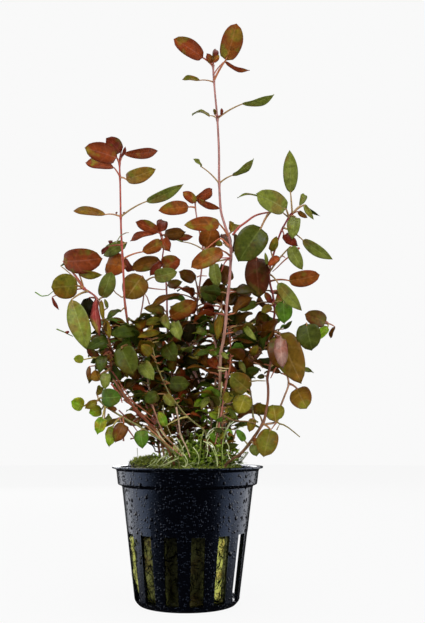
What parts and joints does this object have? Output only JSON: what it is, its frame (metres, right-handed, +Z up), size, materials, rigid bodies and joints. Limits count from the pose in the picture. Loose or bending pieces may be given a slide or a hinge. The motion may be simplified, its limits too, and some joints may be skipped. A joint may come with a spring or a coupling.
{
  "type": "potted aquarium plant",
  "caption": "Red-leaved aquarium plant: thin upright shoots with small oval leaves in pairs, rooted in a wool plug in a slotted black net pot.",
  "frame": {"origin": "centre of the flat underside of the pot", "axes": "+Z up, -Y towards the side that the picture shows, +X to the right in it"},
  "size_m": [0.1037, 0.0798, 0.2162],
  "materials": {
    "black_plastic": "moulded, half matte, wet with fine droplets",
    "mineral_wool": "wet fibrous wool grown over with green algae",
    "stem_tissue": "smooth wet plant stem, pinkish red",
    "leaf_tissue": "thin wet leaf, red-brown to olive green, light shines through"
  },
  "bodies": {
    "root": {"net_pot": "black_plastic", "wool_plug": "mineral_wool", "stem_tall": "stem_tissue", "stem_arch": "stem_tissue", "stem_left": "stem_tissue", "stem_middle": "stem_tissue", "stem_whorl": "stem_tissue", "stem_pink": "stem_tissue", "stem_low_left": "stem_tissue", "stem_trailing": "stem_tissue", "stem_crossing": "stem_tissue", "stem_thin": "stem_tissue", "stem_red": "stem_tissue", "stem_slanting": "stem_tissue", "stem_short": "stem_tissue", "stem_right": "stem_tissue", "stem_far_right": "stem_tissue", "stem_right_twig": "stem_tissue", "stem_back_left": "stem_tissue", "stem_back": "stem_tissue", "stem_back_right": "stem_tissue", "leaf_tall_1": "leaf_tissue", "leaf_tall_2": "leaf_tissue", "leaf_tall_3": "leaf_tissue", "leaf_tall_4": "leaf_tissue", "leaf_tall_5": "leaf_tissue", "leaf_arch_1": "leaf_tissue", "leaf_left_1": "leaf_tissue", "leaf_left_2": "leaf_tissue", "leaf_left_3": "leaf_tissue", "leaf_left_4": "leaf_tissue", "leaf_left_5": "leaf_tissue", "leaf_left_6": "leaf_tissue", "leaf_left_7": "leaf_tissue", "leaf_left_8": "leaf_tissue", "leaf_middle_1": "leaf_tissue", "leaf_whorl_1": "leaf_tissue", "leaf_whorl_2": "leaf_tissue", "leaf_whorl_3": "leaf_tissue", "leaf_pink_1": "leaf_tissue", "leaf_pink_2": "leaf_tissue", "leaf_low_left_1": "leaf_tissue", "leaf_low_left_2": "leaf_tissue", "leaf_low_left_3": "leaf_tissue", "leaf_low_left_4": "leaf_tissue", "leaf_trailing_1": "leaf_tissue", "leaf_right_1": "leaf_tissue", "leaf_right_2": "leaf_tissue", "leaf_right_3": "leaf_tissue", "leaf_right_4": "leaf_tissue", "leaf_right_5": "leaf_tissue", "leaf_right_6": "leaf_tissue", "leaf_right_7": "leaf_tissue", "leaf_right_8": "leaf_tissue", "leaf_right_9": "leaf_tissue", "leaf_right_10": "leaf_tissue", "leaf_far_right_1": "leaf_tissue", "leaf_far_right_2": "leaf_tissue", "leaf_far_right_3": "leaf_tissue", "leaf_right_twig_1": "leaf_tissue"}
  },
  "joints": []
}
